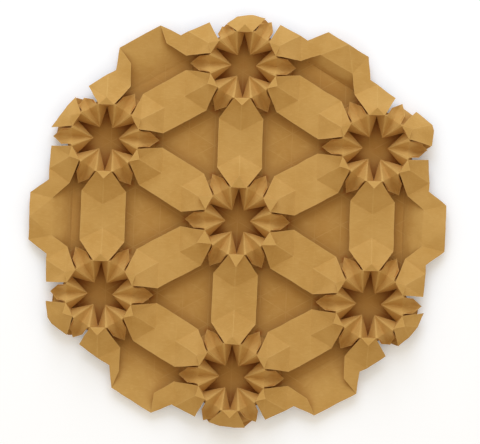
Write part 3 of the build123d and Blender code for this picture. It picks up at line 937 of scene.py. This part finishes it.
def sheet_material(settings):
    """Matte ochre paper: cloudy fibres, pale worn folds, painted shade where the folds hide the sky, and a
    faint folding grid.
    """
    material = bpy.data.materials.new("ochre_paper")
    material.use_nodes = True
    nodes = material.node_tree.nodes
    links = material.node_tree.links
    shader = nodes["Principled BSDF"]
    shader.inputs["Specular IOR Level"].default_value = 0.25
    place = nodes.new("ShaderNodeTexCoord")

    def texture(scale, detail, roughness, turn=0.0, stretch=None):
        """A noise over the sheet, drawn out along one direction where a stretch is given."""
        cloud = nodes.new("ShaderNodeTexNoise")
        cloud.inputs["Scale"].default_value = scale
        cloud.inputs["Detail"].default_value = detail
        cloud.inputs["Roughness"].default_value = roughness
        if stretch:
            mapping = nodes.new("ShaderNodeMapping")
            mapping.inputs["Rotation"].default_value[2] = turn
            mapping.inputs["Scale"].default_value = (stretch, 1.0, 1.0)
            links.new(place.outputs["Object"], mapping.inputs["Vector"])
            links.new(mapping.outputs["Vector"], cloud.inputs["Vector"])
        else:
            links.new(place.outputs["Object"], cloud.inputs["Vector"])
        return cloud.outputs["Fac"]

    def spread(value, low, high, start=0.0, end=1.0):
        """A value from one range brought smoothly to another."""
        ramp = nodes.new("ShaderNodeMapRange")
        ramp.interpolation_type = "SMOOTHSTEP"
        ramp.inputs["From Min"].default_value = low
        ramp.inputs["From Max"].default_value = high
        ramp.inputs["To Min"].default_value = start
        ramp.inputs["To Max"].default_value = end
        links.new(value, ramp.inputs["Value"])
        return ramp.outputs["Result"]

    def product(a, b):
        """Two values multiplied."""
        times = nodes.new("ShaderNodeMath")
        times.operation = "MULTIPLY"
        links.new(a, times.inputs[0])
        links.new(b, times.inputs[1])
        return times.outputs["Value"]

    def mixed(factor, a, b):
        """Two colours mixed by a factor; either may be a socket or a plain colour."""
        mix = nodes.new("ShaderNodeMix")
        mix.data_type = "RGBA"
        links.new(factor, mix.inputs["Factor"])
        for value, socket in ((a, mix.inputs[6]), (b, mix.inputs[7])):
            if isinstance(value, bpy.types.NodeSocket):
                links.new(value, socket)
            else:
                socket.default_value = (*value, 1.0)
        return mix.outputs[2]

    def line(name, width, strength):
        """A thin line along one kind of fold, one at the fold and nothing a width away."""
        attribute = nodes.new("ShaderNodeAttribute")
        attribute.attribute_name = name
        return spread(attribute.outputs["Fac"], 0.0, width, strength, 0.0)

    def floor_grid(width, strength):
        """Faint creases in three directions over the low floors, one at a crease and nothing a width away."""
        nearest = None
        for angle in (0, 60, 120):
            reading = nodes.new("ShaderNodeVectorMath")
            reading.operation = "DOT_PRODUCT"
            reading.inputs[1].default_value = (cos(radians(angle)), sin(radians(angle)), 0.0)
            links.new(place.outputs["Object"], reading.inputs[0])
            folded = nodes.new("ShaderNodeMath")
            folded.operation = "PINGPONG"
            folded.inputs[1].default_value = settings.star_pitch / GRID_STEPS / 2
            links.new(reading.outputs["Value"], folded.inputs[0])
            if nearest is None:
                nearest = folded.outputs["Value"]
            else:
                least = nodes.new("ShaderNodeMath")
                least.operation = "MINIMUM"
                links.new(nearest, least.inputs[0])
                links.new(folded.outputs["Value"], least.inputs[1])
                nearest = least.outputs["Value"]
        height = nodes.new("ShaderNodeSeparateXYZ")
        links.new(place.outputs["Object"], height.inputs["Vector"])
        on_floor = spread(height.outputs["Z"], 0.5 * MM, 1.5 * MM, 1.0, 0.0)
        return product(spread(nearest, 0.0, width, strength, 0.0), on_floor)

    clouds = texture(scale=70.0, detail=4.0, roughness=0.6)
    fibres = texture(scale=1400.0, detail=3.0, roughness=0.7, turn=0.6, stretch=0.25)
    cross_fibres = texture(scale=1100.0, detail=3.0, roughness=0.7, turn=2.1, stretch=0.3)
    patches = texture(scale=320.0, detail=5.0, roughness=0.65)
    colour = mixed(spread(clouds, 0.3, 0.75), settings.colour, settings.shade_colour)
    colour = mixed(spread(fibres, 0.45, 0.8, 0.0, 0.35), colour, settings.worn_colour)
    colour = mixed(spread(cross_fibres, 0.5, 0.85, 0.0, 0.4), colour, settings.shade_colour)
    # Painted shade: where the paper round a point hides the sky, its colour is darkened towards the painted
    # fold shade, and in the narrowest folds towards the warm painted deep shade
    painted_shade_mask = nodes.new("ShaderNodeAttribute")
    painted_shade_mask.attribute_name = "sky_occlusion"
    colour = mixed(spread(painted_shade_mask.outputs["Fac"], 0.04, 0.5, 0.0, 0.5), colour, settings.painted_fold_shade_colour)
    colour = mixed(spread(painted_shade_mask.outputs["Fac"], 0.62, 0.95, 0.0, 0.8), colour, settings.painted_deep_shade_colour)
    grid = product(floor_grid(0.35 * MM, 0.3), spread(clouds, 0.35, 0.65, 0.1, 1.0))
    colour = mixed(grid, colour, settings.worn_colour)
    worn = product(line("crest_distance", 0.45, 0.5), spread(patches, 0.3, 0.7, 0.35, 1.0))
    colour = mixed(worn, colour, settings.worn_colour)
    faint = product(line("grid_distance", 0.4, 0.16), spread(patches, 0.3, 0.7, 0.2, 1.0))
    colour = mixed(faint, colour, settings.worn_colour)
    links.new(colour, shader.inputs["Base Color"])
    links.new(spread(patches, 0.2, 0.8, 0.82, 0.94), shader.inputs["Roughness"])

    bump = nodes.new("ShaderNodeBump")
    bump.inputs["Strength"].default_value = 0.25
    bump.inputs["Distance"].default_value = 0.0001
    links.new(product(fibres, cross_fibres), bump.inputs["Height"])
    links.new(bump.outputs["Normal"], shader.inputs["Normal"])
    return material


class SHEET_OT_fold(bpy.types.Operator):
    """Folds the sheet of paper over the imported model"""

    bl_idname = "folded_sheet.fold"
    bl_label = "Fold the Sheet"

    def execute(self, context):
        settings = context.scene.folded_paper
        lengths = {
            "paper": settings.thickness / MM,
            "star_pitch": settings.star_pitch / MM,
            "petal_half": settings.petal_width / MM / 2,
            "petal_height": settings.petal_height / MM,
            "cap_height": settings.cap_height / MM,
        }
        front = FoldedFront(lengths)
        front.fold()
        front.shift_corners(settings.corner_shift / MM)
        piece = bpy.data.objects.new("folded_paper", front_mesh(front))
        context.scene.collection.objects.link(piece)

        # Soft scoops and fine facets
        surface = piece.modifiers.new("soft_scoops", "SUBSURF")
        surface.levels = 2
        surface.render_levels = 2
        surface.boundary_smooth = "PRESERVE_CORNERS"
        with_mesh(piece, evaluated(piece, "folded_paper"))

        # How near each point lies to a fold, for the wear in the paper
        places = np.empty(len(piece.data.vertices) * 3)
        piece.data.vertices.foreach_get("co", places)
        places = places.reshape(-1, 3)
        for kind, lines in fold_lines(front).items():
            attribute = piece.data.attributes.new(f"{kind}_distance", "FLOAT", "POINT")
            attribute.data.foreach_set("value", distances(places, lines))

        # How much of the sky the paper round each point hides, which the material turns into painted shade
        attribute = piece.data.attributes.new("sky_occlusion", "FLOAT", "POINT")
        attribute.data.foreach_set("value", sky_occlusion(piece.data, SHELTER_REACH * MM))

        # The unevenness of hand folding, then the thickness of the paper
        low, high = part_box(NODE)
        inner_low = Vector(low) + Vector((0, 0, settings.thickness))
        make_uneven(piece.data, settings.unevenness, inner_low, Vector(high))
        thickness = piece.modifiers.new("paper_thickness", "SOLIDIFY")
        thickness.thickness = settings.thickness
        thickness.offset = -1.0
        with_mesh(piece, evaluated(piece, "folded_paper"))
        for vert in piece.data.vertices:
            vert.co = kept_inside(vert.co, low, high)
        piece.data.set_sharp_from_angle(angle=radians(SHARP_TURN))
        piece.data.materials.clear()
        piece.data.materials.append(sheet_material(settings))
        if len(piece.data.polygons) < len(front.facets):
            raise RuntimeError("the folded sheet came out with too few faces")
        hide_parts(NODE)
        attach(piece, "root")
        return {"FINISHED"}


def seen_directly(nodes, links):
    """One for what the camera sees, straight, reflected or through glass, and nothing for other light."""
    path = nodes.new("ShaderNodeLightPath")
    seen = path.outputs["Is Camera Ray"]
    for name in ("Is Glossy Ray", "Is Transmission Ray"):
        either = nodes.new("ShaderNodeMath")
        either.operation = "MAXIMUM"
        links.new(seen, either.inputs[0])
        links.new(path.outputs[name], either.inputs[1])
        seen = either.outputs["Value"]
    return seen


def floor_material(settings):
    """A plain pale floor that shows white to the camera and keeps the shadow."""
    material = bpy.data.materials.new("pale_floor")
    material.use_nodes = True
    nodes = material.node_tree.nodes
    links = material.node_tree.links
    shader = nodes["Principled BSDF"]
    shader.inputs["Base Color"].default_value = (*settings.floor_colour, 1.0)
    shader.inputs["Roughness"].default_value = 0.9
    shader.inputs["Specular IOR Level"].default_value = 0.0
    glow = nodes.new("ShaderNodeMath")
    glow.operation = "MULTIPLY"
    glow.inputs[1].default_value = settings.floor_glow
    links.new(seen_directly(nodes, links), glow.inputs[0])
    shader.inputs["Emission Color"].default_value = (1.0, 1.0, 1.0, 1.0)
    links.new(glow.outputs["Value"], shader.inputs["Emission Strength"])
    return material


def soft_world(settings):
    """Even light from all round, with a white background for the camera and for reflections."""
    world = bpy.data.worlds.new("soft_light")
    world.use_nodes = True
    nodes = world.node_tree.nodes
    links = world.node_tree.links
    nodes.clear()
    seen = seen_directly(nodes, links)
    light = nodes.new("ShaderNodeBackground")
    light.inputs["Color"].default_value = (*settings.sky_colour, 1.0)
    light.inputs["Strength"].default_value = settings.sky_level
    white = nodes.new("ShaderNodeBackground")
    white.inputs["Color"].default_value = (1.0, 1.0, 1.0, 1.0)
    white.inputs["Strength"].default_value = 1.0
    choice = nodes.new("ShaderNodeMixShader")
    links.new(seen, choice.inputs["Fac"])
    links.new(light.outputs["Background"], choice.inputs[1])
    links.new(white.outputs["Background"], choice.inputs[2])
    output = nodes.new("ShaderNodeOutputWorld")
    links.new(choice.outputs["Shader"], output.inputs["Surface"])
    return world


class SHEET_OT_stage(bpy.types.Operator):
    """Sets the floor, the soft light and the camera"""

    bl_idname = "folded_sheet.stage"
    bl_label = "Set the Stage"

    def execute(self, context):
        scene = context.scene
        settings = scene.folded_stage
        mesh = bpy.data.meshes.new("floor")
        sheet = bmesh.new()
        bmesh.ops.create_grid(sheet, x_segments=1, y_segments=1, size=FLOOR_HALF)
        sheet.to_mesh(mesh)
        sheet.free()
        floor = bpy.data.objects.new("floor", mesh)
        floor.location.z = -FLOOR_DROP * MM
        floor.data.materials.append(floor_material(settings))
        scene.collection.objects.link(floor)
        scene.world = soft_world(settings)

        # The key lamp stands beyond the top of the sheet and looks down on it
        rise = settings.key_rise
        lamp = bpy.data.lights.new("key", "AREA")
        lamp.shape = "SQUARE"
        lamp.size = settings.key_size
        lamp.color = settings.key_colour
        lamp.energy = settings.key_level * FULL_LIGHT * KEY_DISTANCE ** 2 / sin(rise)
        key = bpy.data.objects.new("key", lamp)
        towards = Vector((-KEY_LEFT, cos(rise), sin(rise)))
        key.location = towards.normalized() * KEY_DISTANCE
        key.rotation_euler = towards.to_track_quat("Z", "Y").to_euler()
        scene.collection.objects.link(key)

        # The camera looks straight down, turned as the photograph is
        turn = radians(FRAME_TURN)
        right = Vector((cos(turn), sin(turn), 0.0))
        up = Vector((-sin(turn), cos(turn), 0.0))
        view = bpy.data.cameras.new("camera")
        view.sensor_width = SENSOR
        view.lens = SENSOR * settings.camera_distance / (FRAME_ACROSS * MM)
        view.clip_end = SIGHT_END
        camera = bpy.data.objects.new("camera", view)
        camera.location = (right * FRAME_RIGHT - up * FRAME_DOWN) * MM
        camera.location.z = settings.camera_distance + VIEWED_HEIGHT * MM
        camera.rotation_euler = (0.0, 0.0, turn)
        scene.collection.objects.link(camera)
        scene.camera = camera
        scene.view_settings.view_transform = "Standard"
        return {"FINISHED"}


class SHEET_PT_panel(bpy.types.Panel):
    """The settings of the folded sheet and its stage"""

    bl_idname = "SHEET_PT_panel"
    bl_label = "Folded Sheet"
    bl_space_type = "VIEW_3D"
    bl_region_type = "UI"
    bl_category = "Folded Sheet"

    def draw(self, context):
        scene = context.scene
        for settings in (scene.folded_paper, scene.folded_stage):
            box = self.layout.box()
            for name in settings.__annotations__:
                box.prop(settings, name)
        self.layout.operator(SHEET_OT_fold.bl_idname)
        self.layout.operator(SHEET_OT_stage.bl_idname)


CLASSES = (PaperSettings, StageSettings, SHEET_OT_fold, SHEET_OT_stage, SHEET_PT_panel)


def register():
    """Registers the classes and their settings."""
    for item in CLASSES:
        bpy.utils.register_class(item)
    bpy.types.Scene.folded_paper = bpy.props.PointerProperty(type=PaperSettings)
    bpy.types.Scene.folded_stage = bpy.props.PointerProperty(type=StageSettings)


def unregister():
    """Removes the settings and the classes."""
    del bpy.types.Scene.folded_stage
    del bpy.types.Scene.folded_paper
    for item in reversed(CLASSES):
        bpy.utils.unregister_class(item)


def main():
    """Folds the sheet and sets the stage."""
    register()
    bpy.ops.folded_sheet.fold()
    bpy.ops.folded_sheet.stage()


if __name__ == "__main__":
    main()
